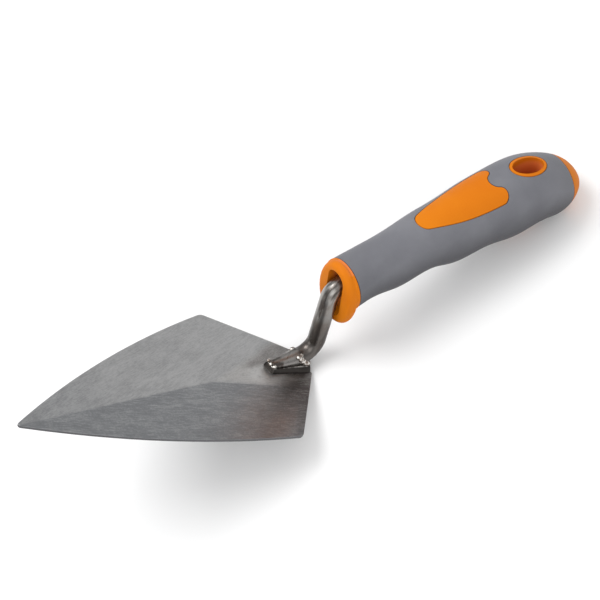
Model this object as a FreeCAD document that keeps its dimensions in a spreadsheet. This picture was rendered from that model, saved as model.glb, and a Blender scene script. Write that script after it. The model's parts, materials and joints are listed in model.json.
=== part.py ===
import FreeCAD, Part
import math
import os
import Sketcher

# A pointing trowel: a taper-ground steel blade, a cranked round tang welded to its heel,
# and a two-colour handle moulded on the tang.
#
# Blade frame: the underside of the blade is the XY plane, the middle of its heel end is the
# origin, the tip points along -X and the tang rises along +Z.
# Handle frame: the blade frame turned up about Y and moved, so that the handle's axis is its X,
# its width is along Y and its top is towards +Z. The front of the grip is at X = 0.
# At the end every piece is turned to the way the trowel lies on a bench, on its heel and butt.

# Driving dimensions, in millimetres and degrees.
DRIVING = [
    # blade
    ("blade_length", 151.5),
    ("blade_width", 76.0),
    ("shoulder_back", 29.5),
    ("side_radius", 440.0),
    ("heel_width", 14.6),
    ("blade_thick", 1.8),
    ("tip_round", 1.2),
    ("shoulder_round", 3.6),
    ("land_length", 52.0),
    ("land_angle", 18.0),
    ("grind_angle", 1.1),
    # tang
    ("rod_dia", 7.8),
    ("foot_length", 19.5),
    ("foot_front_width", 4.6),
    ("foot_front_height", 4.2),
    ("foot_mid_width", 6.2),
    ("foot_mid_height", 5.6),
    ("crank_start", 6.3),
    ("crank_radius", 8.0),
    ("rise_lean", 13.4),
    ("elbow_radius", 6.0),
    ("shank_end", 80.0),
    # weld between tang and blade
    ("weld_front", 20.6),
    ("weld_front_width", 7.0),
    ("weld_height", 2.8),
    ("weld_front_inset", 0.9),
    ("weld_heel_inset", 2.4),
    # handle: where its axis runs, and the lines its sections follow
    ("handle_angle", 21.2),
    ("handle_x", 0.5),
    ("handle_z", 46.7),
    ("grip_length", 116.5),
    ("handle_length", 126.0),
    ("grip_wall", 2.4),
    ("neck_half", 10.9),
    ("belly_half", 15.6),
    ("belly_at", 92.0),
    ("neck_top", 11.4),
    ("belly_top", 21.4),
    ("crown_at", 86.0),
    ("neck_drop", 12.7),
    ("belly_drop", 14.3),
    ("groove_first", 9.0),
    ("groove_pitch", 30.0),
    ("groove_depth1", 2.0),
    ("groove_depth2", 3.4),
    ("groove_depth3", 2.2),
    ("groove_depth4", 2.4),
    # collar and the slot the tang comes out of
    ("collar_length", 5.0),
    ("collar_half", 11.3),
    ("collar_top", 12.3),
    ("collar_drop", 20.5),
    ("collar_round", 2.6),
    ("mouth_width", 10.0),
    ("mouth_top", 9.5),
    ("mouth_bottom", 15.7),
    ("mouth_depth", 7.0),
    ("floor_top", 7.6),
    ("floor_bottom", 5.4),
    # hang hole
    ("hole_at", 96.0),
    ("hole_length", 16.8),
    ("hole_width", 9.4),
    ("hole_rim", 1.3),
    # gap between the sleeve and whatever the core shows
    ("seam_gap", 0.3),
    # inlay on top of the grip
    ("inlay_start", 36.2),
    ("inlay_nose", 4.7),
    ("inlay_side", 130.0),
    ("inlay_lobe_at", 75.6),
    ("inlay_lobe_out", 6.9),
    ("inlay_lobe", 3.2),
    ("inlay_notch", 4.4),
]

doc = FreeCAD.newDocument("trowel")
sheet = doc.addObject("Spreadsheet::Sheet", "dims")
for row, (name, value) in enumerate(DRIVING, start=1):
    sheet.set("A%d" % row, name)
    sheet.set("B%d" % row, str(value))
    sheet.setAlias("B%d" % row, name)
doc.recompute()


def size(name):
    """The value of one cell of the sheet."""
    return float(sheet.get(name))


def vec(x, y, z):
    return FreeCAD.Vector(x, y, z)


def turn_y(degrees):
    return FreeCAD.Rotation(vec(0, 1, 0), degrees)


# ------------------------------------------------------------------ helpers for sketches
def origin_plane(body, role):
    for feature in body.Origin.OriginFeatures:
        if feature.Role == role:
            return feature
    raise RuntimeError("no plane " + role)


def add_sketch(body, name, role, offset=FreeCAD.Placement()):
    sketch = body.newObject("Sketcher::SketchObject", name)
    sketch.AttachmentSupport = [(origin_plane(body, role), "")]
    sketch.MapMode = "FlatFace"
    sketch.AttachmentOffset = offset
    return sketch


def bind(sketch, name, kind, args, start, formula):
    """Adds one named driving constraint and ties it to the sheet."""
    number = sketch.addConstraint(Sketcher.Constraint(kind, *args, start))
    sketch.renameConstraint(number, name)
    sketch.setExpression("Constraints." + name, formula)


def join(sketch, first, first_end, second, second_end):
    sketch.addConstraint(Sketcher.Constraint("Coincident", first, first_end, second, second_end))


def pin(sketch, name, geometry, end, x_formula=None, y_formula=None):
    """Ties one point of a sketch to its distances from the origin, on whichever side it lies."""
    point = sketch.getPoint(geometry, end)
    for kind, value, formula in (("DistanceX", point.x, x_formula), ("DistanceY", point.y, y_formula)):
        if formula is None:
            continue
        if value >= 0:
            args = (-1, 1, geometry, end)
        else:
            args = (geometry, end, -1, 1)
        bind(sketch, name + kind[-1], kind, args, abs(value), formula)


# ------------------------------------------------------------------ blade
def make_blade():
    """Arrowhead plate with bowed sides, ground thin from a land in front of the tang."""
    length = size("blade_length")
    half = size("blade_width") / 2
    back = size("shoulder_back")
    heel = size("heel_width") / 2
    radius = size("side_radius")
    thick = size("blade_thick")
    tip = vec(-length, 0, 0)

    body = doc.addObject("PartDesign::Body", "blade_plate")
    sketch = add_sketch(body, "blade_outline", "XY_Plane")
    ends = {}
    for side, label in ((1, "far"), (-1, "near")):
        shoulder = vec(-back, side * half, 0)
        corner = vec(0, side * heel, 0)
        chord = shoulder - tip
        outward = vec(-chord.y, chord.x, 0) * side
        outward.normalize()
        bow = radius - math.sqrt(radius ** 2 - (chord.Length / 2) ** 2)
        arc = sketch.addGeometry(Part.Arc(tip, (tip + shoulder) * 0.5 + outward * bow, shoulder))
        edge = sketch.addGeometry(Part.LineSegment(shoulder, corner))
        # an arc's first point is the one its counter-clockwise sweep starts from
        at_shoulder, at_tip = (1, 2) if side > 0 else (2, 1)
        join(sketch, arc, at_shoulder, edge, 1)
        bind(sketch, label + "_side", "Radius", (arc,), radius, "dims.side_radius")
        pin(sketch, label + "_shoulder", edge, 1, "dims.shoulder_back", "dims.blade_width / 2")
        pin(sketch, label + "_corner", edge, 2, None, "dims.heel_width / 2")
        sketch.addConstraint(Sketcher.Constraint("PointOnObject", edge, 2, -2))
        ends[side] = (arc, at_tip, edge)
    end = sketch.addGeometry(Part.LineSegment(vec(0, heel, 0), vec(0, -heel, 0)))
    join(sketch, ends[1][2], 2, end, 1)
    join(sketch, ends[-1][2], 2, end, 2)
    join(sketch, ends[1][0], ends[1][1], ends[-1][0], ends[-1][1])
    sketch.addConstraint(Sketcher.Constraint("PointOnObject", ends[1][0], ends[1][1], -1))
    pin(sketch, "tip", ends[1][0], ends[1][1], "dims.blade_length", None)

    plate = body.newObject("PartDesign::Pad", "plate")
    plate.Profile = sketch
    plate.setExpression("Length", "dims.blade_thick")
    doc.recompute()

    def upright_edges(feature, x_low, y_low):
        names = []
        for number, line in enumerate(feature.Shape.Edges, start=1):
            box = line.BoundBox
            upright = box.XLength < 0.01 and box.YLength < 0.01
            if upright and (box.XMin < x_low or abs(box.YMin) > y_low):
                names.append("Edge%d" % number)
        return names

    previous = plate
    for label, formula, x_low, y_low in (
        ("tip_fillet", "dims.tip_round", 1 - length, length),
        ("shoulder_fillet", "dims.shoulder_round", -length, half - 1),
    ):
        fillet = body.newObject("PartDesign::Fillet", label)
        fillet.Base = (previous, upright_edges(previous, x_low, y_low))
        fillet.setExpression("Radius", formula)
        doc.recompute()
        previous = fillet

    # Two grinding cuts. Each plane meets the plate's top along one side of the land and falls away
    # outwards, so that in front of the land the two planes meet in a crest down the middle.
    angle = size("land_angle")
    cut_from = body
    for side, label in ((1, "far"), (-1, "near")):
        wheel = doc.addObject("Part::Box", "grind_" + label)
        wheel.setExpression("Length", "dims.blade_length * 2")
        wheel.setExpression("Width", "dims.blade_width")
        wheel.setExpression("Height", "dims.blade_thick * 3")
        doc.recompute()
        heading = FreeCAD.Rotation(vec(0, 0, 1), side * angle)
        tilt = FreeCAD.Rotation(vec(1, 0, 0), -side * size("grind_angle"))
        middle = vec(-length, -wheel.Width.Value if side < 0 else 0, 0)
        wheel.Placement = FreeCAD.Placement(
            vec(-size("land_length"), 0, thick) + (heading * tilt).multVec(middle), heading * tilt
        )
        cut = doc.addObject("Part::Cut", "ground_" + label)
        cut.Base = cut_from
        cut.Tool = wheel
        cut_from = cut
    cut_from.Label = "blade"
    return cut_from


# ------------------------------------------------------------------ tang
def tang_path():
    """Corner points, arc ends and arc centres of the rod's middle line, in the blade frame's XZ plane."""
    foot_z = size("blade_thick") + size("rod_dia") / 2
    lean = math.radians(size("rise_lean"))
    slope = math.radians(size("handle_angle"))
    up = vec(-math.sin(lean), 0, math.cos(lean))
    out = vec(math.cos(slope), 0, math.sin(slope))
    axis_point = vec(size("handle_x"), 0, size("handle_z"))
    crank = size("crank_radius")
    turn = math.pi / 2 + lean
    start = vec(-size("crank_start"), 0, foot_z)
    low_corner = start + vec(crank * math.tan(turn / 2), 0, 0)
    low_end = low_corner + up * (crank * math.tan(turn / 2))
    # the rise meets the handle's axis here: low_corner + up * rise = axis_point + out * along
    gap = axis_point - low_corner
    det = up.x * -out.z + out.x * up.z
    rise = (gap.x * -out.z + out.x * gap.z) / det
    high_corner = low_corner + up * rise
    elbow = size("elbow_radius")
    bend = math.pi / 2 + lean - slope
    high_start = high_corner - up * (elbow * math.tan(bend / 2))
    high_end = high_corner + out * (elbow * math.tan(bend / 2))
    last = axis_point + out * size("shank_end")
    low_centre = start + vec(0, 0, crank)
    right = vec(up.z, 0, -up.x)
    high_centre = high_start + right * elbow
    return {
        "start": start, "low_end": low_end, "low_centre": low_centre,
        "high_start": high_start, "high_end": high_end, "high_centre": high_centre, "last": last,
    }


def arc_between(first, last, centre, away):
    """A circular arc from first to last about centre, whose middle lies on the side away points to."""
    radius = (first - centre).Length
    middle = (first + last) * 0.5 - centre
    middle.normalize()
    if middle.dot(away) < 0:
        middle = -middle
    return Part.Arc(first, centre + middle * radius, last)


def make_tang():
    """Round rod: a flattened foot along the blade, a crank up, an elbow and a straight shank."""
    path = tang_path()
    rod = size("rod_dia")
    thick = size("blade_thick")

    body = doc.addObject("PartDesign::Body", "tang_body")
    # The XZ plane's sketch has its own X along X and its Y along Z.
    spine = add_sketch(body, "tang_line", "XZ_Plane")

    def flat(point):
        return vec(point.x, point.z, 0)

    low = arc_between(flat(path["start"]), flat(path["low_end"]), flat(path["low_centre"]), vec(1, -1, 0))
    high = arc_between(
        flat(path["high_start"]), flat(path["high_end"]), flat(path["high_centre"]), vec(-1, 1, 0)
    )
    low_arc = spine.addGeometry(low)
    rise = spine.addGeometry(Part.LineSegment(flat(path["low_end"]), flat(path["high_start"])))
    high_arc = spine.addGeometry(high)
    shank = spine.addGeometry(Part.LineSegment(flat(path["high_end"]), flat(path["last"])))
    bind(spine, "crank", "Radius", (low_arc,), size("crank_radius"), "dims.crank_radius")
    bind(spine, "elbow", "Radius", (high_arc,), size("elbow_radius"), "dims.elbow_radius")
    pin(spine, "start", low_arc, 1, "dims.crank_start", "dims.blade_thick + dims.rod_dia / 2")
    # an end-to-end tangency also joins the two ends
    for ends in ((low_arc, 2, rise, 1), (high_arc, 2, rise, 2), (high_arc, 1, shank, 1)):
        spine.addConstraint(Sketcher.Constraint("Tangent", *ends))
    sweep_angle = "90 deg + dims.rise_lean * 1 deg"
    number = spine.addConstraint(
        Sketcher.Constraint("Angle", rise, math.pi / 2 + math.radians(size("rise_lean")))
    )
    spine.renameConstraint(number, "lean")
    spine.setExpression("Constraints.lean", sweep_angle)
    number = spine.addConstraint(Sketcher.Constraint("Angle", shank, math.radians(size("handle_angle"))))
    spine.renameConstraint(number, "slope")
    spine.setExpression("Constraints.slope", "dims.handle_angle * 1 deg")
    pin(
        spine, "last", shank, 2,
        "dims.handle_x + dims.shank_end * cos(dims.handle_angle * 1 deg)",
        "dims.handle_z + dims.shank_end * sin(dims.handle_angle * 1 deg)",
    )
    # the crank starts level: its centre is right above its start
    spine.addConstraint(Sketcher.Constraint("Vertical", low_arc, 1, low_arc, 3))

    # The YZ plane's sketch has its own X along Y and its Y along Z.
    def section(name, x_formula, x, width_formula, width, height_formula, height):
        offset = FreeCAD.Placement(vec(0, 0, x), FreeCAD.Rotation())
        sketch = add_sketch(body, name, "YZ_Plane", offset)
        sketch.setExpression("AttachmentOffset.Base.z", x_formula)
        centre = vec(0, thick + height / 2, 0)
        if abs(width - height) < 1e-6:
            ring = sketch.addGeometry(Part.Circle(centre, vec(0, 0, 1), width / 2))
            bind(sketch, "radius", "Radius", (ring,), width / 2, width_formula + " / 2")
            pin(sketch, "centre", ring, 3, None, "dims.blade_thick + " + height_formula + " / 2")
            sketch.addConstraint(Sketcher.Constraint("PointOnObject", ring, 3, -2))
            return sketch
        ring = sketch.addGeometry(
            Part.Ellipse(centre + vec(width / 2, 0, 0), centre + vec(0, height / 2, 0), centre)
        )
        sketch.exposeInternalGeometry(ring)
        across = ring + 1
        upright = ring + 2
        bind(sketch, "width", "Distance", (across,), width, width_formula)
        bind(sketch, "height", "Distance", (upright,), height, height_formula)
        sketch.addConstraint(Sketcher.Constraint("Horizontal", across))
        pin(sketch, "centre", ring, 3, None, "dims.blade_thick + " + height_formula + " / 2")
        sketch.addConstraint(Sketcher.Constraint("PointOnObject", ring, 3, -2))
        return sketch

    round_end = section(
        "rod_section", "-dims.crank_start", -size("crank_start"), "dims.rod_dia", rod, "dims.rod_dia", rod
    )
    doc.recompute()
    pipe = body.newObject("PartDesign::AdditivePipe", "rod")
    pipe.Profile = round_end
    pipe.Spine = (spine, ["Edge1", "Edge2", "Edge3", "Edge4"])
    doc.recompute()

    # the foot is drawn out flatter and narrower towards its front
    middle_x = -(size("foot_length") + size("crank_start")) / 2
    front = section(
        "foot_front", "-dims.foot_length", -size("foot_length"),
        "dims.foot_front_width", size("foot_front_width"),
        "dims.foot_front_height", size("foot_front_height"),
    )
    middle = section(
        "foot_middle", "-(dims.foot_length + dims.crank_start) / 2", middle_x,
        "dims.foot_mid_width", size("foot_mid_width"),
        "dims.foot_mid_height", size("foot_mid_height"),
    )
    back = section(
        "foot_back", "-dims.crank_start", -size("crank_start"), "dims.rod_dia", rod, "dims.rod_dia", rod
    )
    doc.recompute()
    foot = body.newObject("PartDesign::AdditiveLoft", "foot")
    foot.Profile = front
    foot.Sections = [middle, back]
    doc.recompute()
    body.Label = "tang"
    return body


# ------------------------------------------------------------------ weld
def make_weld(tang):
    """Weld built up round the foot: a low steep-sided block that widens to the blade's heel corners."""
    front = size("weld_front")
    height = size("weld_height")
    thick = size("blade_thick")
    body = doc.addObject("PartDesign::Body", "weld_body")

    def outline(name, level_formula, level, inset):
        offset = FreeCAD.Placement(vec(0, 0, level), FreeCAD.Rotation())
        sketch = add_sketch(body, name, "XY_Plane", offset)
        sketch.setExpression("AttachmentOffset.Base.z", level_formula)
        at_front = size("weld_front_inset") if inset else 0.0
        at_heel = size("weld_heel_inset") if inset else 0.0
        front_text = " - dims.weld_front_inset" if inset else ""
        heel_text = " - dims.weld_heel_inset" if inset else ""
        x = at_front - front
        front_half = size("weld_front_width") / 2 - at_front
        heel_half = size("heel_width") / 2 - at_heel
        points = [
            vec(x, front_half, 0), vec(x, -front_half, 0), vec(0, -heel_half, 0), vec(0, heel_half, 0),
        ]
        lines = []
        for first, second in zip(points, points[1:] + points[:1]):
            lines.append(sketch.addGeometry(Part.LineSegment(first, second)))
        for number, line in enumerate(lines):
            join(sketch, line, 2, lines[(number + 1) % len(lines)], 1)
        for number in (0, 1):
            pin(
                sketch, "front%d" % number, lines[number], 1,
                "dims.weld_front" + front_text, "dims.weld_front_width / 2" + front_text,
            )
        for number in (2, 3):
            pin(sketch, "heel%d" % number, lines[number], 1, None, "dims.heel_width / 2" + heel_text)
            sketch.addConstraint(Sketcher.Constraint("PointOnObject", lines[number], 1, -2))
        return sketch

    base = outline("weld_base", "dims.blade_thick", thick, False)
    top = outline("weld_top", "dims.blade_thick + dims.weld_height", thick + height, True)
    doc.recompute()
    bead = body.newObject("PartDesign::AdditiveLoft", "bead")
    bead.Profile = base
    bead.Sections = [top]
    bead.Ruled = True
    doc.recompute()
    cut = doc.addObject("Part::Cut", "bead_round_foot")
    cut.Base = body
    cut.Tool = tang
    cut.Refine = False
    cut.Label = "weld_bead"
    return cut, body


# ------------------------------------------------------------------ handle
def ease(fraction):
    fraction = min(max(fraction, 0.0), 1.0)
    return fraction * fraction * (3 - 2 * fraction)


def roll_off(s, begin, power):
    """1 up to begin, then falling like a superellipse to 0 at the end of the handle."""
    reach = (s - begin) / (size("handle_length") - begin)
    if reach <= 0:
        return 1.0
    return (1 - min(reach, 1.0) ** power) ** (1 / power)


def half_width(s):
    grown = ease((s - 12) / (size("belly_at") - 12))
    half = size("neck_half") + (size("belly_half") - size("neck_half")) * grown
    flare = (size("collar_half") - size("neck_half")) * ease(1 - s / 10)
    return (half + flare) * roll_off(s, size("belly_at"), 2.5)


def top_line(s):
    """Height of the handle's top above its axis."""
    run = min(s / size("crown_at"), 1.0)
    rise = size("belly_top") - size("neck_top")
    return (size("neck_top") + rise * (1.25 * run - 0.25 * run * run)) * roll_off(s, size("crown_at"), 1.7)


def bottom_line(s):
    """Depth of the underside below the axis: a sinking line with a groove for each finger."""
    ridge = size("neck_drop") + (size("belly_drop") - size("neck_drop")) * s / size("belly_at")
    count = (s - size("groove_first")) / size("groove_pitch")
    nearest = min(max(round(count), 0), 3)
    depth = size("groove_depth%d" % (nearest + 1))
    wave = 0.5 * (1 + math.cos(2 * math.pi * (count - nearest)))
    return (ridge - depth * wave) * roll_off(s, 106, 2.2)


def ring_at(s, half, top, drop, points=16):
    """A closed smooth section across the handle at s: an ellipse from -drop to top, half wide each way."""
    middle = (top - drop) / 2
    tall = (top + drop) / 2
    around = [2 * math.pi * number / points for number in range(points)]
    curve = Part.BSplineCurve()
    curve.interpolate(
        Points=[vec(s, half * math.cos(angle), middle + tall * math.sin(angle)) for angle in around],
        PeriodicFlag=True,
    )
    return Part.Wire([curve.toShape()])


def handle_stations(first, last):
    """Four sections to each finger groove, closing up towards the butt."""
    step = size("groove_pitch") / 4
    stations = [first]
    s = size("groove_first") - step
    while s < 107:
        if s > first + 1:
            stations.append(s)
        s += step
    for s in (111, 114.5, 117.5, 120.3, 122.6, 124.3, 125.4, 125.85):
        if s < last - 0.2:
            stations.append(s)
    stations.append(last)
    return stations


def handle_loft(name, first, last, inset):
    rings = []
    for s in handle_stations(first, last):
        rings.append(
            ring_at(s, half_width(s) - inset, top_line(s) - inset, bottom_line(s) - inset)
        )
    item = doc.addObject("Part::Feature", name)
    item.Shape = Part.makeLoft(rings, True)
    return item


def boolean(kind, name, base, tool):
    item = doc.addObject(kind, name)
    item.Base = base
    item.Tool = tool
    return item


def fuse(name, shapes):
    item = doc.addObject("Part::MultiFuse", name)
    item.Shapes = shapes
    return item


def prism(name, role, offset, length_formula, draw):
    """A body padded from one sketch; draw(sketch) fills the sketch in."""
    body = doc.addObject("PartDesign::Body", name)
    sketch = add_sketch(body, name + "_outline", role, offset)
    draw(sketch)
    pad = body.newObject("PartDesign::Pad", name + "_pad")
    pad.Profile = sketch
    pad.setExpression("Length", length_formula)
    return body


def draw_oval(extra_formula, extra):
    """The hang hole's outline, or one grown all round by extra."""
    def draw(sketch):
        length = size("hole_length") + 2 * extra
        width = size("hole_width") + 2 * extra
        centre = vec(size("hole_at"), 0, 0)
        oval = sketch.addGeometry(
            Part.Ellipse(centre + vec(length / 2, 0, 0), centre + vec(0, width / 2, 0), centre)
        )
        sketch.exposeInternalGeometry(oval)
        bind(sketch, "length", "Distance", (oval + 1,), length, "dims.hole_length" + extra_formula)
        bind(sketch, "width", "Distance", (oval + 2,), width, "dims.hole_width" + extra_formula)
        sketch.addConstraint(Sketcher.Constraint("Horizontal", oval + 1))
        sketch.addConstraint(Sketcher.Constraint("PointOnObject", oval, 3, -1))
        pin(sketch, "centre", oval, 3, "dims.hole_at", None)

    return draw


def draw_mouth(top_name, bottom_name):
    """An upright slot with round ends, in the YZ plane."""
    def draw(sketch):
        half = size("mouth_width") / 2
        high = size(top_name) - half
        low = half - size(bottom_name)
        top = sketch.addGeometry(
            Part.Arc(vec(half, high, 0), vec(0, high + half, 0), vec(-half, high, 0))
        )
        left = sketch.addGeometry(Part.LineSegment(vec(-half, high, 0), vec(-half, low, 0)))
        end = sketch.addGeometry(
            Part.Arc(vec(-half, low, 0), vec(0, low - half, 0), vec(half, low, 0))
        )
        right = sketch.addGeometry(Part.LineSegment(vec(half, low, 0), vec(half, high, 0)))
        for ends in ((top, 2, left, 1), (left, 2, end, 1), (end, 2, right, 1), (right, 2, top, 1)):
            sketch.addConstraint(Sketcher.Constraint("Tangent", *ends))
        bind(sketch, "width", "Radius", (top,), half, "dims.mouth_width / 2")
        sketch.addConstraint(Sketcher.Constraint("PointOnObject", top, 3, -2))
        sketch.addConstraint(Sketcher.Constraint("Vertical", left))
        pin(sketch, "top", top, 3, None, "dims.%s - dims.mouth_width / 2" % top_name)
        pin(sketch, "low", end, 3, None, "dims.%s - dims.mouth_width / 2" % bottom_name)

    return draw


def crossing(first, first_radius, second, second_radius):
    """Where two circles cross, to the right of the way from the first centre to the second."""
    way = second - first
    along = (first_radius ** 2 - second_radius ** 2 + way.Length ** 2) / (2 * way.Length)
    aside = math.sqrt(first_radius ** 2 - along ** 2)
    way.normalize()
    return first + way * along + vec(way.y, -way.x, 0) * aside


def reach_from(centre, through, distance):
    """The point at a distance from a centre, on the line through another point."""
    way = through - centre
    way.normalize()
    return centre + way * distance


def draw_inlay(grow_formula, grow):
    """A fish seen from above: round nose, widening sides, two round tail lobes and a notch."""
    nose_at = vec(size("inlay_start") + size("inlay_nose"), 0, 0)
    shrink_formula = grow_formula.replace("+", "-")
    nose = size("inlay_nose") + grow
    side = size("inlay_side") + grow
    lobe = size("inlay_lobe") + grow
    notch = size("inlay_notch") - grow
    lobe_at = vec(size("inlay_lobe_at"), size("inlay_lobe_out"), 0)
    notch_at = lobe_at.x + math.sqrt((lobe + notch) ** 2 - lobe_at.y ** 2)
    side_at = crossing(nose_at, side - nose, lobe_at, side - lobe)

    def mirrored(point):
        return vec(point.x, -point.y, 0)

    side_front = reach_from(side_at, nose_at, side)
    side_back = reach_from(side_at, lobe_at, side)
    side_middle = reach_from(side_at, (side_front + side_back) * 0.5, side)
    towards = vec(notch_at, 0, 0) - lobe_at
    towards.normalize()
    meet = lobe_at + towards * lobe
    lobe_tip = lobe_at + vec(math.cos(math.radians(20)), math.sin(math.radians(20)), 0) * lobe
    notch_floor = vec(notch_at - notch, 0, 0)

    def draw(sketch):
        front = sketch.addGeometry(Part.Arc(side_front, nose_at - vec(nose, 0, 0), mirrored(side_front)))
        low = sketch.addGeometry(
            Part.Arc(mirrored(side_front), mirrored(side_middle), mirrored(side_back))
        )
        low_lobe = sketch.addGeometry(Part.Arc(mirrored(side_back), mirrored(lobe_tip), mirrored(meet)))
        tail = sketch.addGeometry(Part.Arc(mirrored(meet), notch_floor, meet))
        high_lobe = sketch.addGeometry(Part.Arc(meet, lobe_tip, side_back))
        high = sketch.addGeometry(Part.Arc(side_back, side_middle, side_front))
        # the notch is drawn clockwise, so its first point as stored is the upper one
        for ends in (
            (front, 2, low, 1), (low, 2, low_lobe, 1), (low_lobe, 2, tail, 2),
            (tail, 1, high_lobe, 1), (high_lobe, 2, high, 1), (high, 2, front, 1),
        ):
            sketch.addConstraint(Sketcher.Constraint("Tangent", *ends))
        bind(sketch, "nose", "Radius", (front,), nose, "dims.inlay_nose" + grow_formula)
        bind(sketch, "side_low", "Radius", (low,), side, "dims.inlay_side" + grow_formula)
        bind(sketch, "side_high", "Radius", (high,), side, "dims.inlay_side" + grow_formula)
        bind(sketch, "lobe_low", "Radius", (low_lobe,), lobe, "dims.inlay_lobe" + grow_formula)
        bind(sketch, "lobe_high", "Radius", (high_lobe,), lobe, "dims.inlay_lobe" + grow_formula)
        bind(sketch, "notch", "Radius", (tail,), notch, "dims.inlay_notch" + shrink_formula)
        sketch.addConstraint(Sketcher.Constraint("PointOnObject", front, 3, -1))
        pin(sketch, "nose_at", front, 3, "dims.inlay_start + dims.inlay_nose", None)
        pin(sketch, "low_at", low_lobe, 3, "dims.inlay_lobe_at", "dims.inlay_lobe_out")
        pin(sketch, "high_at", high_lobe, 3, "dims.inlay_lobe_at", "dims.inlay_lobe_out")

    return draw


def collar_rings():
    """The collar from its rounded front edge back to the grip, deepest at the front underneath."""
    front = -size("collar_length")
    edge = size("collar_round")
    stations = [(front + edge * (1 - math.cos(math.radians(turn))),
                 edge * (1 - math.sin(math.radians(turn)))) for turn in (0, 25, 50, 75)]
    stations += [(-1.4, 0.0), (0.0, 0.0)]
    rings = []
    for s, inset in stations:
        back = ease((s - front - edge) / (-front - edge))
        half = size("collar_half") + (half_width(0) + 0.1 - size("collar_half")) * back
        top = size("collar_top") + (top_line(0) + 0.1 - size("collar_top")) * back
        drop = size("collar_drop") + (bottom_line(0) + 0.5 - size("collar_drop")) * back
        rings.append(ring_at(s, half - inset, top - inset, drop - inset))
    return rings


def make_handle():
    """Hard core moulded on the tang, showing at collar, inlay, hole rim and butt, in a soft sleeve."""
    grip = size("grip_length")
    gap = size("seam_gap")
    form = handle_loft("handle_form", gap, 125.95, 0.0)
    inner = handle_loft("core_form", -1.0, grip + 1.5, size("grip_wall"))
    collar = doc.addObject("Part::Feature", "collar_form")
    collar.Shape = Part.makeLoft(collar_rings(), True)

    level = FreeCAD.Placement()
    below = FreeCAD.Placement(vec(0, 0, -2 * size("belly_top")), FreeCAD.Rotation())
    oval_rim = draw_oval(" + 2 * dims.hole_rim", size("hole_rim"))
    grown_rim = draw_oval(" + 2 * dims.hole_rim + 2 * dims.seam_gap", size("hole_rim") + gap)
    windows = []
    for name, outline, at, height in (
        ("inlay_window", draw_inlay(" + dims.seam_gap", gap), level, "dims.belly_top * 2"),
        ("boss_window", grown_rim, below, "dims.belly_top * 4"),
    ):
        windows.append(prism(name, "XY_Plane", at, height, outline))
    inlay = prism("inlay_prism", "XY_Plane", level, "dims.belly_top * 2", draw_inlay("", 0))
    boss = prism("boss_prism", "XY_Plane", below, "dims.belly_top * 4", oval_rim)
    hole = prism("hole_prism", "XY_Plane", below, "dims.belly_top * 4", draw_oval("", 0))
    mouth = doc.addObject("PartDesign::Body", "mouth_body")
    slots = []
    for name, s, top_name, bottom_name in (
        ("mouth_front", -size("collar_length") - 0.01, "mouth_top", "mouth_bottom"),
        ("mouth_floor", size("mouth_depth") - size("collar_length"), "floor_top", "floor_bottom"),
    ):
        at = FreeCAD.Placement(vec(0, 0, s), FreeCAD.Rotation())
        slot = add_sketch(mouth, name, "YZ_Plane", at)
        draw_mouth(top_name, bottom_name)(slot)
        slots.append(slot)
    tapered = mouth.newObject("PartDesign::AdditiveLoft", "mouth_slot")
    tapered.Profile = slots[0]
    tapered.Sections = slots[1:]
    tapered.Ruled = True
    butts = []
    for name, start in (("butt_block", grip), ("butt_window", grip - gap)):
        butt = doc.addObject("Part::Box", name)
        butt.setExpression("Length", "dims.handle_length - dims.grip_length + 5")
        butt.setExpression("Width", "dims.belly_half * 3")
        butt.setExpression("Height", "dims.belly_top * 3")
        doc.recompute()
        butt.Placement = FreeCAD.Placement(
            vec(start, -butt.Width.Value / 2, -butt.Height.Value / 2), FreeCAD.Rotation()
        )
        butts.append(butt)
    socket = doc.addObject("Part::Cylinder", "shank_socket")
    socket.setExpression("Radius", "dims.rod_dia / 2")
    socket.setExpression("Height", "dims.shank_end")
    socket.Placement = FreeCAD.Placement(vec(0, 0, 0), turn_y(90))

    shown = boolean("Part::Common", "core_shown", form, fuse("core_windows", [inlay, boss, butts[0]]))
    solid = fuse("core_solid", [inner, collar, shown])
    # the sleeve stops a seam's width short of everything the core shows
    cleared = fuse("sleeve_cleared", [inner, butts[1]] + windows)
    sleeve = boolean("Part::Cut", "sleeve_cut", form, cleared)
    sleeve.Label = "grip_sleeve"
    core = solid
    for name, tool in (("core_holed", hole), ("core_bored", socket), ("core_slotted", mouth)):
        core = boolean("Part::Cut", name, core, tool)
    core.Label = "handle_core"
    return core, sleeve


# ------------------------------------------------------------------ how it lies
def rest_tilt():
    """The turn that lays the heel's lower edge and the lowest point of the handle on one level."""
    slope = math.radians(size("handle_angle"))
    lowest = math.pi
    steps = 500
    for step in range(steps):
        s = size("handle_length") * step / steps
        drop = bottom_line(s)
        x = size("handle_x") + s * math.cos(slope) + drop * math.sin(slope)
        z = size("handle_z") + s * math.sin(slope) - drop * math.cos(slope)
        lowest = min(lowest, math.atan2(z, x))
    return lowest


def handle_reach(turned):
    """How far the butt stands out along X from the handle's start."""
    reach = 0.0
    steps = 400
    for step in range(steps):
        s = size("handle_length") * step / steps
        for height in (top_line(s), -bottom_line(s)):
            reach = max(reach, turned.multVec(vec(s, 0, height)).x)
    return reach


blade = make_blade()
tang = make_tang()
weld, bead = make_weld(tang)
core, sleeve = make_handle()
nodes = [blade, tang, weld, core, sleeve]

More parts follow.
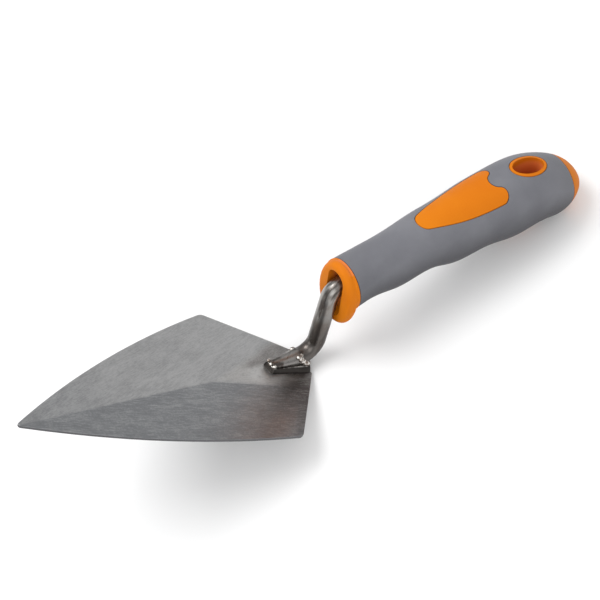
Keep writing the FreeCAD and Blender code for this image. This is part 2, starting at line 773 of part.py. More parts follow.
# The lowest points touch z = 0, and the origin is under the middle of the trowel's length.
lie = turn_y(math.degrees(rest_tilt()))
tip = lie.multVec(vec(blade.Shape.optimalBoundingBox(False).XMin, 0, 0)).x
handle_turn = lie.multiply(turn_y(-size("handle_angle")))
butt_end = lie.multVec(vec(size("handle_x"), 0, size("handle_z"))).x + handle_reach(handle_turn)
where = FreeCAD.Placement(vec(-(tip + butt_end) / 2, 0, 0), lie)
handle_where = where * FreeCAD.Placement(
    vec(size("handle_x"), 0, size("handle_z")), turn_y(-size("handle_angle"))
)
for item in (blade, tang, bead):
    item.Placement = where
for item in (core, sleeve):
    item.Placement = handle_where
doc.recompute()

for item in doc.Objects:
    if "Invalid" in item.State or "Error" in item.State:
        raise RuntimeError("failed: " + item.Name)
for node in nodes:
    if node.Shape.isNull() or not node.Shape.isValid():
        raise RuntimeError("bad shape: " + node.Label)
    box = node.Shape.optimalBoundingBox(False)
    print(
        "%-12s solids %d volume %8.1f  x %.2f %.2f  y %.2f %.2f  z %.2f %.2f"
        % (node.Label, len(node.Shape.Solids), node.Shape.Volume,
           box.XMin, box.XMax, box.YMin, box.YMax, box.ZMin, box.ZMax)
    )
print("tilt %.3f  shift %.3f" % (math.degrees(rest_tilt()), where.Base.x))

os.makedirs("parts", exist_ok=True)
for node in nodes:
    node.Shape.exportStep("parts/%s.step" % node.Label)
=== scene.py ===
import json
import math
import bpy
import bmesh
from mathutils import Vector, Matrix


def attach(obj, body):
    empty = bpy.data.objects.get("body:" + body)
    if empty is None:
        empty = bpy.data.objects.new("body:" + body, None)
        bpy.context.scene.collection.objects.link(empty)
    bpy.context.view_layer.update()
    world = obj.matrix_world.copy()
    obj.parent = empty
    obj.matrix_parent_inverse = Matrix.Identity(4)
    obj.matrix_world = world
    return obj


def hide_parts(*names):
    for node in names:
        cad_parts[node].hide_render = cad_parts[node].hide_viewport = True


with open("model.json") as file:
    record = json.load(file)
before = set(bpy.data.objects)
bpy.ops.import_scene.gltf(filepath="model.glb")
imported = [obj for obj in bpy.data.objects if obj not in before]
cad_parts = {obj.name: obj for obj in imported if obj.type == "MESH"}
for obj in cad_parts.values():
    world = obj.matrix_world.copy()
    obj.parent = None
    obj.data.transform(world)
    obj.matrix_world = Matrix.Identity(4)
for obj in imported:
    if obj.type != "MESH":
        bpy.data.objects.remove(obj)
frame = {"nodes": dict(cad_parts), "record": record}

nodes = frame["nodes"]
mounts = {m["name"]: m for m in frame["record"]["mounts"]}
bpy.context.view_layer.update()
print("frame loaded")

# the blade and the handle each lean in the XZ plane, and the mounts say by how much
underside = Vector(mounts["blade_underside"]["axis"])
bladeLean = math.atan2(-underside.x, -underside.z)  # tip up
holeAxis = Vector(mounts["hang_hole"]["axis"])
handleLean = math.atan2(holeAxis.x, holeAxis.z)  # butt down
underPoint = Vector(mounts["blade_underside"]["pos_m"])
holePoint = Vector(mounts["hang_hole"]["pos_m"])

# the blade's own length and thickness, and the middle of its heel's lower edge
bladeLong = Vector((math.cos(bladeLean), 0, -math.sin(bladeLean)))
bladeUp = -underside
mountAhead = 0.045  # how far in front of the heel the underside's mount is
heel = underPoint + bladeLong * mountAhead


class Sock:
    # wraps an output socket, so that shader maths reads as Python
    def __init__(self, shop, socket):
        self.shop = shop
        self.socket = socket

    def maths(self, operation, other=None, flip=False):
        inputs = [other, self] if flip else [self, other]
        values = {n: v for n, v in enumerate(inputs) if v is not None}
        return self.shop.node("ShaderNodeMath", {"operation": operation}, values)

    def __add__(self, other):
        return self.maths("ADD", other)

    def __sub__(self, other):
        return self.maths("SUBTRACT", other)

    def __rsub__(self, other):
        return self.maths("SUBTRACT", other, flip=True)

    def __mul__(self, other):
        return self.maths("MULTIPLY", other)

    def __truediv__(self, other):
        return self.maths("DIVIDE", other)

    def __pow__(self, other):
        return self.maths("POWER", other)

    __radd__ = __add__
    __rmul__ = __mul__

    def abs(self):
        return self.maths("ABSOLUTE")

    def least(self, other):
        return self.maths("MINIMUM", other)

    def most(self, other):
        return self.maths("MAXIMUM", other)

    def clip(self):
        return self.most(0).least(1)

    def away(self, other):
        # distance from a middle, out of the distances along and across
        return (self ** 2 + other ** 2) ** 0.5

    def swing(self, amount):
        # a noise's rise and fall about its middle
        return (self - 0.5) * amount

    def ramp(self, low, high):
        # smooth 0 to 1 as the value goes from low to high
        return self.shop.node(
            "ShaderNodeMapRange",
            {"interpolation_type": "SMOOTHSTEP"},
            {"Value": self, "From Min": low, "From Max": high},
        )


class Shop:
    # one material and its nodes
    def __init__(self, name):
        self.material = bpy.data.materials.new(name)
        self.material.use_nodes = True
        self.tree = self.material.node_tree
        self.tree.nodes.clear()
        self.shader = self.tree.nodes.new("ShaderNodeBsdfPrincipled")
        output = self.tree.nodes.new("ShaderNodeOutputMaterial")
        self.tree.links.new(self.shader.outputs["BSDF"], output.inputs["Surface"])

    def node(self, kind, settings=None, values=None, output=0):
        made = self.tree.nodes.new(kind)
        for key, value in (settings or {}).items():
            setattr(made, key, value)
        for key, value in (values or {}).items():
            self.feed(made.inputs[key], value)
        return Sock(self, made.outputs[output])

    def feed(self, target, value):
        if isinstance(value, Sock):
            self.tree.links.new(value.socket, target)
        else:
            target.default_value = value

    def mix(self, amount, first, second):
        # colour from first to second
        return self.node(
            "ShaderNodeMix", {"data_type": "RGBA"}, {0: amount, 6: first, 7: second}, 2
        )

    def place(self, centre, lean):
        # coordinates in a leaning piece's own directions, in metres from centre
        spot = self.node("ShaderNodeTexCoord", output=3)
        moved = self.node(
            "ShaderNodeVectorMath", {"operation": "SUBTRACT"}, {0: spot, 1: centre}
        )
        return self.node(
            "ShaderNodeVectorRotate",
            {"rotation_type": "Y_AXIS"},
            {"Vector": moved, "Angle": lean},
        )

    def facing(self, direction):
        # 1 where the surface faces along direction, 0 edge on and -1 turned away
        outward = self.node("ShaderNodeTexCoord", output=1)
        return self.node(
            "ShaderNodeVectorMath", {"operation": "DOT_PRODUCT"}, {0: outward, 1: direction}, 1
        )

    def split(self, vector):
        return [
            self.node("ShaderNodeSeparateXYZ", values={0: vector}, output=n) for n in range(3)
        ]

    def join(self, x, y, z):
        return self.node("ShaderNodeCombineXYZ", values={0: x, 1: y, 2: z})

    def noise(self, vector, scale, detail, roughness):
        return self.node(
            "ShaderNodeTexNoise",
            values={"Vector": vector, "Scale": scale, "Detail": detail, "Roughness": roughness},
        )

    def bump(self, height, depth, strength):
        return self.node(
            "ShaderNodeBump", values={"Height": height, "Distance": depth, "Strength": strength}
        )

    def finish(self, **sockets):
        for name, value in sockets.items():
            self.feed(self.shader.inputs[name.replace("_", " ")], value)
        return self.material


copySettings = {
    "mergeDistance": 1e-6,
    "sliverDistance": 1e-7,
    "flatAngle": 0.2,  # neighbouring faces that differ by less are joined up before a bevel
    "cornerAngle": 50,  # a corner sharper than this gets the small round
    "roundSegments": 3,
}


def smoothCopy(nodeName, pieceName, material, sharpAngle, edgeRound=0):
    # the CAD node's own shape as one joined mesh that shades smoothly, with its real edges kept,
    # or rounded by edgeRound where that is given
    mesh = nodes[nodeName].data.copy()
    mesh.name = pieceName
    mesh.materials.clear()
    mesh.materials.append(material)
    bm = bmesh.new()
    bm.from_mesh(mesh)
    bmesh.ops.remove_doubles(bm, verts=bm.verts, dist=copySettings["mergeDistance"])
    bmesh.ops.dissolve_degenerate(bm, edges=bm.edges, dist=copySettings["sliverDistance"])
    if edgeRound:
        bmesh.ops.dissolve_limit(
            bm, angle_limit=math.radians(copySettings["flatAngle"]),
            use_dissolve_boundaries=False, verts=bm.verts, edges=bm.edges, delimit=set(),
        )
        corner = math.radians(copySettings["cornerAngle"])
        bmesh.ops.bevel(
            bm, geom=[e for e in bm.edges if e.calc_face_angle(0) > corner],
            offset=edgeRound, offset_type="OFFSET", affect="EDGES",
            segments=copySettings["roundSegments"], profile=0.5, material=-1, clamp_overlap=True,
        )
    for face in bm.faces:
        face.smooth = True
        face.material_index = 0
    for edge in bm.edges:
        if len(edge.link_faces) == 2:
            edge.smooth = edge.calc_face_angle(0) < math.radians(sharpAngle)
    bm.to_mesh(mesh)
    bm.free()
    if mesh.has_custom_normals:
        mesh.normals_split_custom_set([(0, 0, 0)] * len(mesh.loops))
    piece = bpy.data.objects.new(pieceName, mesh)
    bpy.context.scene.collection.objects.link(piece)
    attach(piece, "root")
    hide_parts(nodeName)
    return piece


# In the looks of the blade, tang and weld, along is metres from the heel with the tip at the
# negative end, across is negative on the near side, and height is up from the underside.
# A noise is its scale, detail and roughness, and a bump its depth and strength. A fade is none
# at its first number and full at its second, and a reach is the other way round.
bladeLook = {
    "farSheenTone": (0.42, 0.42, 0.42, 1),
    "nearShadeTone": (0.265, 0.272, 0.28, 1),
    "landSheenTone": (0.53, 0.52, 0.50, 1),
    "darkReflectionAndShadowTone": (0.085, 0.066, 0.058, 1),
    "paleGrainAndHighlight": (0.66, 0.66, 0.65, 1),
    "darkGrain": (0.09, 0.09, 0.095, 1),
    "edgeShadeTone": (0.11, 0.11, 0.115, 1),
    "metal": 0.95,
    "roughness": 0.34,
    "fineRoughness": 0.2,
    "cloudRoughness": 0.1,
    "sharpAngle": 12,
    "edgeRound": 0.00022,
    # the land in front of the foot, the crest between the halves, and the other faces
    "landLength": 0.052,
    "landAngle": 18,
    "landFade": (-0.0004, 0.0025),
    "landAmount": 0.55,
    "crestFade": (-0.0003, 0.0008),
    "sheenLossFade": (-0.085, -0.14),
    "sheenLossAmount": 0.5,
    "topFade": (0.1, 0.5),
    "undersideMix": 0.4,  # how near the underside is to the near half's tone
    "edgeShadeFade": (0.7, 0.4),
    # the grinding streaks
    "streakAngle": 17.5,
    "fineStretch": 0.12,
    "fineNoise": (2200, 3, 0.6),
    "fineShare": 0.8,
    "broadStretch": 0.3,
    "broadNoise": (340, 3, 0.55),
    "broadShare": 0.5,
    "broadDepth": 0.6,
    "cloudNoise": (38, 2, 0.5),
    "cloudShare": 0.2,
    "speckNoise": (1300, 2, 0.5),
    "speckShare": 0.45,
    "grainLift": 0.02,
    "streakBump": (0.00002, 0.6),
    # a painted dark reflection of the tang in a brown fan on the far side of the foot, wider
    # towards the heel
    "fanStart": -0.036,
    "fanSlope": 0.38,
    "fanOffset": 0.0026,
    "fanFade": (0.003, -0.003),
    "fanAcross": (0.001, 0.005),
    "fanAlong": (-0.04, -0.026),
    "fanAmount": 0.55,
    # painted shadow at the heel's corner on the near side
    "cornerAlong": (-0.036, -0.008),
    "cornerAcross": (0.002, 0.012),
    "cornerAmount": 0.9,
    # painted shadow on the plate by the near side of the foot, and a painted highlight in front of
    # the foot
    "shadowAlong": -0.006,
    "shadowAcross": -0.0062,
    "shadowSquash": 0.34,
    "shadowReach": (0.0015, 0.0072),
    "paintedShadeAmount": 0.92,
    "highlightAlong": -0.0275,
    "highlightAcross": -0.003,
    "highlightReach": (0.001, 0.007),
    "highlightAmount": 0.5,
}


def footReflectionAndShadow(along, across):
    # how strongly the painted shadows and the painted dark reflection darken the top of the plate
    look = bladeLook
    fanEdge = (along - look["fanStart"]) * look["fanSlope"] + look["fanOffset"]
    fan = (across - fanEdge).ramp(*look["fanFade"]) * across.ramp(*look["fanAcross"])
    fan = fan * along.ramp(*look["fanAlong"]) * look["fanAmount"]
    corner = along.ramp(*look["cornerAlong"]) * (0 - across).ramp(*look["cornerAcross"])
    corner = corner * look["cornerAmount"]
    shadowAlong = (along - look["shadowAlong"]) ** 2 * look["shadowSquash"]
    shadowAcross = (across - look["shadowAcross"]) ** 2
    shadowSpot = (shadowAlong + shadowAcross) ** 0.5
    paintedShade = (1 - shadowSpot.ramp(*look["shadowReach"])) * look["paintedShadeAmount"]
    return fan.most(corner).most(paintedShade)


def bladeSteel():
    look = bladeLook
    shop = Shop("groundBladeSteel")
    spot = shop.place(heel, -bladeLean)
    along, across, height = shop.split(spot)
    # the near half ends at the crest, and from the land on at the land's slanting side
    landSide = (along + look["landLength"]).most(0) * math.tan(math.radians(look["landAngle"]))
    nearHalf = (0 - across - landSide).ramp(*look["crestFade"])
    onLand = (landSide - across.abs()).ramp(*look["landFade"])
    # the grinding streaks run parallel to the edge of each half
    turn = math.radians(look["streakAngle"])
    run = along * math.cos(turn) + across.abs() * math.sin(turn)
    wide = across.abs() * math.cos(turn) - along * math.sin(turn)
    fine = shop.noise(shop.join(run * look["fineStretch"], wide, height), *look["fineNoise"])
    broad = shop.noise(shop.join(run * look["broadStretch"], wide, height), *look["broadNoise"])
    cloud = shop.noise(spot, *look["cloudNoise"])
    speck = shop.noise(spot, *look["speckNoise"])
    # the underside is one flat face, so the painted half tones, shadows, reflection and highlight
    # belong to the top alone
    upright = shop.facing(bladeUp)
    onTop = upright.ramp(*look["topFade"])
    half = nearHalf * onTop + (1 - onTop) * look["undersideMix"]
    # painted shade darkens the near half, and painted reflection lightens the far half and the land
    tone = shop.mix(half, look["farSheenTone"], look["nearShadeTone"])
    tone = shop.mix(onLand * onTop * look["landAmount"], tone, look["landSheenTone"])
    # the far half's painted reflection fades towards the tip
    sheenLoss = along.ramp(*look["sheenLossFade"]) * (1 - nearHalf) * onTop * look["sheenLossAmount"]
    tone = shop.mix(sheenLoss, tone, look["nearShadeTone"])
    # painted shadows and a painted dark reflection round the foot
    tone = shop.mix(footReflectionAndShadow(along, across) * onTop, tone, look["darkReflectionAndShadowTone"])
    # a painted highlight on the plate in front of the foot
    highlightSpot = (along - look["highlightAlong"]).away(across - look["highlightAcross"])
    highlight = (1 - highlightSpot.ramp(*look["highlightReach"])) * onTop * look["highlightAmount"]
    tone = shop.mix(highlight, tone, look["paleGrainAndHighlight"])
    grain = fine.swing(look["fineShare"]) + broad.swing(look["broadShare"])
    grain = grain + cloud.swing(look["cloudShare"]) + speck.swing(look["speckShare"])
    tone = shop.mix((grain + look["grainLift"]).clip(), tone, look["paleGrainAndHighlight"])
    tone = shop.mix((look["grainLift"] - grain).clip(), tone, look["darkGrain"])
    # painted shade on the cut edges of the plate, on faces that turn away from the top
    tone = shop.mix(upright.abs().ramp(*look["edgeShadeFade"]), tone, look["edgeShadeTone"])
    roughness = look["roughness"] + fine.swing(look["fineRoughness"])
    roughness = roughness + cloud.swing(look["cloudRoughness"])
    normal = shop.bump(fine + broad * look["broadDepth"], *look["streakBump"])
    return shop.finish(
        Base_Color=tone, Metallic=look["metal"], Roughness=roughness, Normal=normal
    )


def bladePlate():
    smoothCopy(
        "blade", "bladePlate", bladeSteel(),
        bladeLook["sharpAngle"], bladeLook["edgeRound"],
    )


tangLook = {
    "brightTone": (0.36, 0.35, 0.335, 1),
    "darkTone": (0.055, 0.045, 0.04, 1),
    "brownTone": (0.20, 0.155, 0.13, 1),
    "scuffTone": (0.72, 0.70, 0.66, 1),
    "metal": 1.0,
    "roughness": 0.25,
    "patchRoughness": 0.1,
    "scuffRoughness": 0.12,
    "surfaceBump": (0.00022, 0.45),
    "sharpAngle": 40,
    # broad brown patches
    "patchNoise": (90, 2, 0.5),
    "patchFade": (0.42, 0.62),
    "patchAmount": 0.6,
    # forging streaks, drawn out up the rise and lengthwise along foot and shank; their dark tone is
    # painted dark reflection
    "drawnAlong": 0.4,
    "drawnHeight": 0.12,
    "drawnNoise": (300, 3, 0.5),
    "darkStreakFade": (0.47, 0.6),
    "darkStreakReflectionAmount": 0.85,
    "drawnDepth": 0.3,
    # fine bright scuffs
    "scuffAlong": 0.5,
    "scuffHeight": 0.3,
    "scuffNoise": (1100, 3, 0.6),
    "scuffFade": (0.55, 0.8),
    "scuffAmount": 0.35,
    "scuffDepth": 0.06,
    # painted shade, darkest above the elbow and lighter along the foot
    "shadeHeight": (0.046, 0.016),
    "paintedShadeAmount": 0.80,
    "shadeLessOnFoot": 0.42,
    "footFade": (0.004, 0.010),  # metres in front of the heel
}


def forgedSteel():
    look = tangLook
    shop = Shop("forgedTangSteel")
    spot = shop.place(heel, -bladeLean)
    along, across, height = shop.split(spot)
    drawnLine = shop.join(along * look["drawnAlong"], across, height * look["drawnHeight"])
    drawn = shop.noise(drawnLine, *look["drawnNoise"])
    scuffLine = shop.join(along * look["scuffAlong"], across, height * look["scuffHeight"])
    scuff = shop.noise(scuffLine, *look["scuffNoise"])
    patch = shop.noise(spot, *look["patchNoise"])
    brown = patch.ramp(*look["patchFade"]) * look["patchAmount"]
    tone = shop.mix(brown, look["brightTone"], look["brownTone"])
    # the dark streaks are painted dark reflection, and the same noise gives the forging streaks'
    # bump
    tone = shop.mix(drawn.ramp(*look["darkStreakFade"]) * look["darkStreakReflectionAmount"], tone, look["darkTone"])
    tone = shop.mix(scuff.ramp(*look["scuffFade"]) * look["scuffAmount"], tone, look["scuffTone"])
    onFoot = (0 - along).ramp(*look["footFade"])
    # painted shade low on the tang, less of it along the foot
    paintedShade = height.ramp(*look["shadeHeight"]) * (look["paintedShadeAmount"] - onFoot * look["shadeLessOnFoot"])
    tone = shop.mix(paintedShade, tone, look["darkTone"])
    roughness = look["roughness"] + patch * look["patchRoughness"]
    roughness = roughness + scuff.swing(look["scuffRoughness"])
    surface = patch + drawn * look["drawnDepth"] + scuff * look["scuffDepth"]
    normal = shop.bump(surface, *look["surfaceBump"])
    return shop.finish(
        Base_Color=tone, Metallic=look["metal"], Roughness=roughness, Normal=normal
    )


def forgedTang():
    smoothCopy("tang", "forgedTang", forgedSteel(), tangLook["sharpAngle"])


def meltTogether(piece, look):
    # rounds a weld off all over, as if it had run
    join = piece.modifiers.new("join", "REMESH")
    join.mode = "VOXEL"
    join.voxel_size = look["grain"]
    join.use_smooth_shade = True
    settle = piece.modifiers.new("settle", "SMOOTH")
    settle.factor = 0.5
    settle.iterations = look["passes"]


weldLook = {
    "brightTone": (0.72, 0.70, 0.66, 1),
    "darkTone": (0.042, 0.038, 0.035, 1),
    "metal": 1.0,
    "roughness": 0.36,
    "lumpShine": 0.12,
    "rippleRoughness": 0.06,
    "lumpNoise": (260, 2, 0.5),
    "rippleNoise": (1400, 2, 0.5),
    "rippleDepth": 0.12,
    "lumpBump": (0.0003, 0.5),
    "glintHeight": (0.0038, 0.0043),
    "glintFade": (0.42, 0.6),
    "glintAmount": 0.7,
    "sharpAngle": 180,  # no edge is kept sharp
    "grain": 0.00025,
    "passes": 90,
    "bottom": 0.0019,  # all of the weld lower than this is sunk into the plate
    "sink": 0.0009,
}


def weldSteel():
    look = weldLook
    shop = Shop("weldBeadSteel")
    spot = shop.place(heel, -bladeLean)
    height = shop.split(spot)[2]
    lumps = shop.noise(spot, *look["lumpNoise"])
    ripple = shop.noise(spot, *look["rippleNoise"])
    # a painted highlight along its top edge, with the weld's dark tone below
    weldGlint = height.ramp(*look["glintHeight"]) * lumps.ramp(*look["glintFade"])
    tone = shop.mix(weldGlint * look["glintAmount"], look["darkTone"], look["brightTone"])
    roughness = look["roughness"] - lumps * look["lumpShine"] + ripple * look["rippleRoughness"]
    normal = shop.bump(lumps + ripple * look["rippleDepth"], *look["lumpBump"])
    return shop.finish(
        Base_Color=tone, Metallic=look["metal"], Roughness=roughness, Normal=normal
    )


def weldBead():
    # the weld metal round the foot, sunk a little into the plate so that no gap shows under it
    look = weldLook
    bead = smoothCopy("weld_bead", "weldBead", weldSteel(), look["sharpAngle"])
    for vertex in bead.data.vertices:
        if (vertex.co - heel).dot(bladeUp) < look["bottom"]:
            vertex.co -= bladeUp * look["sink"]
    meltTogether(bead, look)


lumpLook = {
    "brightTone": (0.72, 0.70, 0.66, 1),
    "brownTone": (0.20, 0.155, 0.13, 1),
    "metal": 1.0,
    "roughness": 0.14,
    "skinRoughness": 0.12,
    "skinNoise": (700, 2, 0.5),
    "skinFade": (0.4, 0.62),
    "skinBump": (0.0002, 0.5),
    "stretch": (1.25, 0.9, 1.0),
    "roundness": 3,
    "grain": 0.0002,
    "passes": 6,
    # along, across and height of each drop, then its radius
    "places": [
        (-0.0076, -0.0026, 0.0082, 0.0010), (-0.0062, -0.0032, 0.0074, 0.0012),
        (-0.0048, -0.0035, 0.0063, 0.0013), (-0.0032, -0.0038, 0.0054, 0.0013),
        (-0.0060, -0.0022, 0.0088, 0.0009), (-0.0016, -0.0040, 0.0048, 0.0012),
        (-0.0070, 0.0028, 0.0080, 0.0010), (-0.0052, 0.0035, 0.0064, 0.0013),
        (-0.0032, 0.0038, 0.0054, 0.0013), (-0.0194, -0.0021, 0.0048, 0.0008),
        (-0.0197, 0.0000, 0.0046, 0.0009), (-0.0194, 0.0021, 0.0048, 0.0008),
    ],
}


def dropSteel():
    look = lumpLook
    shop = Shop("weldDropSteel")
    skin = shop.noise(shop.place(heel, -bladeLean), *look["skinNoise"])
    tone = shop.mix(skin.ramp(*look["skinFade"]), look["brightTone"], look["brownTone"])
    roughness = look["roughness"] + skin * look["skinRoughness"]
    normal = shop.bump(skin, *look["skinBump"])
    return shop.finish(
        Base_Color=tone, Metallic=look["metal"], Roughness=roughness, Normal=normal
    )


def weldLumps():
    # drops of weld run together where the foot turns up and at its front end
    look = lumpLook
    stretch = Matrix.Diagonal((*look["stretch"], 1.0))
    bm = bmesh.new()
    for along, across, height, radius in look["places"]:
        middle = heel + bladeLong * along + Vector((0, across, 0)) + bladeUp * height
        bmesh.ops.create_icosphere(
            bm, subdivisions=look["roundness"], radius=radius,
            matrix=Matrix.Translation(middle) @ stretch,
        )
    mesh = bpy.data.meshes.new("weldLumps")
    bm.to_mesh(mesh)
    bm.free()
    mesh.materials.append(dropSteel())
    lumps = bpy.data.objects.new("weldLumps", mesh)
    bpy.context.scene.collection.objects.link(lumps)
    meltTogether(lumps, look)
    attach(lumps, "root")


# In the looks of the handle, along is metres from the middle of the hang hole with the butt at
# the positive end, and height is up from the handle's axis there.
orangeLook = {
    "tone": (0.59, 0.156, 0.005, 1),
    "paleTone": (0.63, 0.182, 0.006, 1),
    "deepTone": (0.50, 0.120, 0.004, 1),
    "insideLitTone": (0.72, 0.205, 0.07, 1),
    "roughness": 0.52,
    "grainRoughness": 0.2,
    "cloudRoughness": 0.1,
    "shine": 0.08,
    "sharpAngle": 40,
    "cloudNoise": (45, 2, 0.5),
    "paleFade": (0.3, 0.75),
    "grainNoise": (2200, 3, 0.55),
    "deepFade": (0.45, 0.9),
    "deepAmount": 0.3,
    "grainBump": (0.00006, 0.5),
    # painted light down inside the hang hole and the tang's slot, which are made paler
    "holeLong": 0.0091,
    "holeWide": 0.0054,
    "holeReach": (0.93, 1.0),
    "holeHeight": (0.0135, 0.0105),
    "slotReach": (0.0048, 0.0056),
    "slotStart": (-0.0995, -0.0955),
    "slotEnd": (-0.09, -0.085),
    "insideLightAmount": 0.7,
}


def orangePlastic():
    look = orangeLook
    shop = Shop("orangeHardPlastic")
    spot = shop.place(holePoint, -handleLean)
    along, across, height = shop.split(spot)
    grain = shop.noise(spot, *look["grainNoise"])
    cloud = shop.noise(spot, *look["cloudNoise"])
    tone = shop.mix(cloud.ramp(*look["paleFade"]), look["tone"], look["paleTone"])
    tone = shop.mix(grain.ramp(*look["deepFade"]) * look["deepAmount"], tone, look["deepTone"])
    holeSpot = (along / look["holeLong"]).away(across / look["holeWide"])
    inHole = (1 - holeSpot.ramp(*look["holeReach"])) * height.ramp(*look["holeHeight"])
    inSlot = (1 - across.abs().ramp(*look["slotReach"])) * along.ramp(*look["slotStart"])
    inSlot = inSlot * (1 - along.ramp(*look["slotEnd"]))
    # painted light: the insides of the hang hole and the slot are paler
    tone = shop.mix(inHole.most(inSlot) * look["insideLightAmount"], tone, look["insideLitTone"])
    roughness = look["roughness"] + grain.swing(look["grainRoughness"])
    roughness = roughness + cloud.swing(look["cloudRoughness"])
    normal = shop.bump(grain, *look["grainBump"])
    return shop.finish(
        Base_Color=tone, Roughness=roughness, Normal=normal, Specular_IOR_Level=look["shine"]
    )


def orangeCore():
    smoothCopy(
        "handle_core", "orangeCore", orangePlastic(), orangeLook["sharpAngle"]
    )


gripLook = {
    "tone": (0.138, 0.140, 0.157, 1),
    "paleTone": (0.170, 0.172, 0.190, 1),
    "rubbedTone": (0.225, 0.228, 0.245, 1),
    "gripDarkenedTone": (0.046, 0.046, 0.053, 1),
    "roughness": 0.56,
    "grainRoughness": 0.25,
    "cloudRoughness": 0.1,
    "shine": 0.4,
    "sharpAngle": 40,
    "cloudNoise": (60, 3, 0.55),
    "paleFade": (0.3, 0.75),
    "cloudDepth": 0.3,
    "grainNoise": (2800, 3, 0.6),
    "rubbedFade": (0.5, 0.85),
    "rubbedAmount": 0.35,
    "grainBump": (0.00012, 0.6),
    # painted shade darkens the underside with its finger grooves, and both ends are a little darker
    "shadeFacing": (0.72, -0.22),
    "shadeBlotch": 0.2,
    "undersideShadeAmount": 0.9,
    "frontEnd": (-0.070, -0.094),
    "buttEnd": (0.006, 0.020),
    "endAmount": 0.2,
}


def greyGrip():
    look = gripLook
    shop = Shop("greySoftGrip")
    spot = shop.place(holePoint, -handleLean)
    along = shop.split(spot)[0]
    grain = shop.noise(spot, *look["grainNoise"])
    cloud = shop.noise(spot, *look["cloudNoise"])
    tone = shop.mix(cloud.ramp(*look["paleFade"]), look["tone"], look["paleTone"])
    rubbed = grain.ramp(*look["rubbedFade"]) * look["rubbedAmount"]
    tone = shop.mix(rubbed, tone, look["rubbedTone"])
    # painted shade on faces that turn downwards, broken up by the cloud noise
    facing = shop.facing(holeAxis) + cloud * look["shadeBlotch"]
    undersideShade = facing.ramp(*look["shadeFacing"]) * look["undersideShadeAmount"]
    atEnds = along.ramp(*look["frontEnd"]).most(along.ramp(*look["buttEnd"])) * look["endAmount"]
    tone = shop.mix(undersideShade.most(atEnds), tone, look["gripDarkenedTone"])
    roughness = look["roughness"] + grain.swing(look["grainRoughness"])
    roughness = roughness + cloud.swing(look["cloudRoughness"])
    normal = shop.bump(grain + cloud * look["cloudDepth"], *look["grainBump"])
    return shop.finish(
        Base_Color=tone, Roughness=roughness, Normal=normal, Specular_IOR_Level=look["shine"]
    )


def gripSleeve():
    smoothCopy("grip_sleeve", "gripSleeve", greyGrip(), gripLook["sharpAngle"])


bladePlate()
print("blade made")
forgedTang()
weldBead()
weldLumps()
print("tang and weld made")
orangeCore()
gripSleeve()
print("handle made")

studio = {
    "floorSize": 40.0,
    "floorTone": (0.84, 0.84, 0.84, 1),
    "floorRoughness": 0.85,
    "floorSwing": 0.1,
    "floorNoise": (300, 2, 0.5),
    "overhead": (1.0, 1.0, 1.0, 1),
    "dimBand": (0.38, 0.38, 0.39, 1),
    "dimAt": 0.1,
    "brightFrom": 0.6,
    "skyStrength": 1.0,
    "keyPlace": (-0.5, 0.5, 1.3),
    "keySize": (0.9, 0.7),
    "keyPower": 11.5,
    "fillPlace": (-0.5, -0.8, 0.7),
    "fillSize": (0.8, 0.8),
    "fillPower": 2.5,
}


def makeFloor():
    mesh = bpy.data.meshes.new("floor")
    bm = bmesh.new()
    bmesh.ops.create_grid(bm, x_segments=1, y_segments=1, size=studio["floorSize"] / 2)
    bm.to_mesh(mesh)
    bm.free()
    shop = Shop("paleFloor")
    speck = shop.noise(shop.node("ShaderNodeTexCoord", output=3), *studio["floorNoise"])
    roughness = studio["floorRoughness"] + speck.swing(studio["floorSwing"])
    mesh.materials.append(shop.finish(Base_Color=studio["floorTone"], Roughness=roughness))
    floor = bpy.data.objects.new("floor", mesh)
    bpy.context.scene.collection.objects.link(floor)


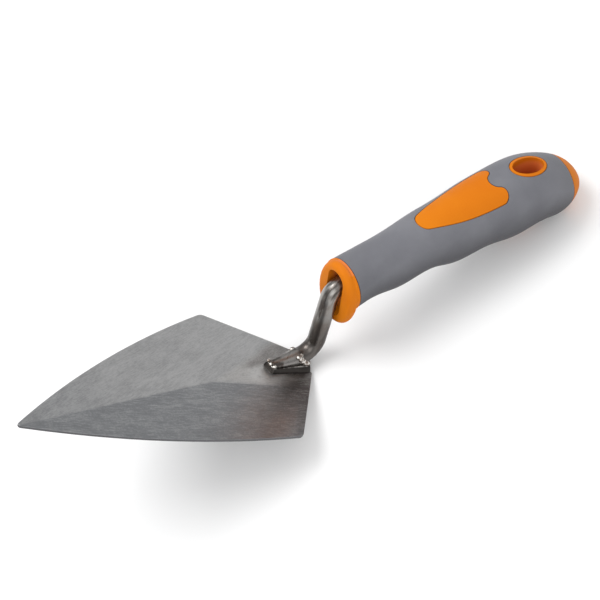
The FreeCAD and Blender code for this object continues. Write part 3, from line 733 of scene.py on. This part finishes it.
def softBox(name, place, size, power):
    # a soft light that points at the middle of the floor
    lamp = bpy.data.lights.new(name, "AREA")
    lamp.shape = "RECTANGLE"
    lamp.size, lamp.size_y = size
    lamp.energy = power
    box = bpy.data.objects.new(name, lamp)
    box.location = place
    box.rotation_euler = (-Vector(place)).to_track_quat("-Z", "Y").to_euler()
    bpy.context.scene.collection.objects.link(box)


def makeSky():
    # bright overhead with a dim band low down, so that steel has something to mirror
    world = bpy.data.worlds.new("studioSky")
    world.use_nodes = True
    tree = world.node_tree
    back = tree.nodes["Background"]
    spot = tree.nodes.new("ShaderNodeTexCoord")
    parts = tree.nodes.new("ShaderNodeSeparateXYZ")
    shade = tree.nodes.new("ShaderNodeValToRGB")
    horizon, upper = shade.color_ramp.elements
    horizon.position = 0.0
    horizon.color = studio["overhead"]
    upper.position = studio["brightFrom"]
    upper.color = studio["overhead"]
    shade.color_ramp.elements.new(studio["dimAt"]).color = studio["dimBand"]
    tree.links.new(spot.outputs["Generated"], parts.inputs["Vector"])
    tree.links.new(parts.outputs["Z"], shade.inputs["Fac"])
    tree.links.new(shade.outputs["Color"], back.inputs["Color"])
    back.inputs["Strength"].default_value = studio["skyStrength"]
    bpy.context.scene.world = world
    bpy.context.scene.view_settings.view_transform = "Standard"


cameraView = {
    "sensor": 36,
    "lens": 131.22,
    "nearest": 0.05,
    "farthest": 20,
    "place": (-0.23835, -0.43206, 0.79914),
    "right": (0.80938, -0.58101, -0.08567),
    "up": (0.52818, 0.65635, 0.53873),
}


def makeCamera():
    data = bpy.data.cameras.new("camera")
    data.sensor_width = cameraView["sensor"]
    data.lens = cameraView["lens"]
    data.clip_start = cameraView["nearest"]
    data.clip_end = cameraView["farthest"]
    camera = bpy.data.objects.new("camera", data)
    right = Vector(cameraView["right"])
    up = Vector(cameraView["up"])
    turn = Matrix((right, up, right.cross(up))).transposed().to_4x4()
    camera.matrix_world = Matrix.Translation(cameraView["place"]) @ turn
    bpy.context.scene.collection.objects.link(camera)
    bpy.context.scene.camera = camera


makeFloor()
makeSky()
softBox("keyLight", studio["keyPlace"], studio["keySize"], studio["keyPower"])
softBox("fillLight", studio["fillPlace"], studio["fillSize"], studio["fillPower"])
makeCamera()
print("floor, light and camera set")
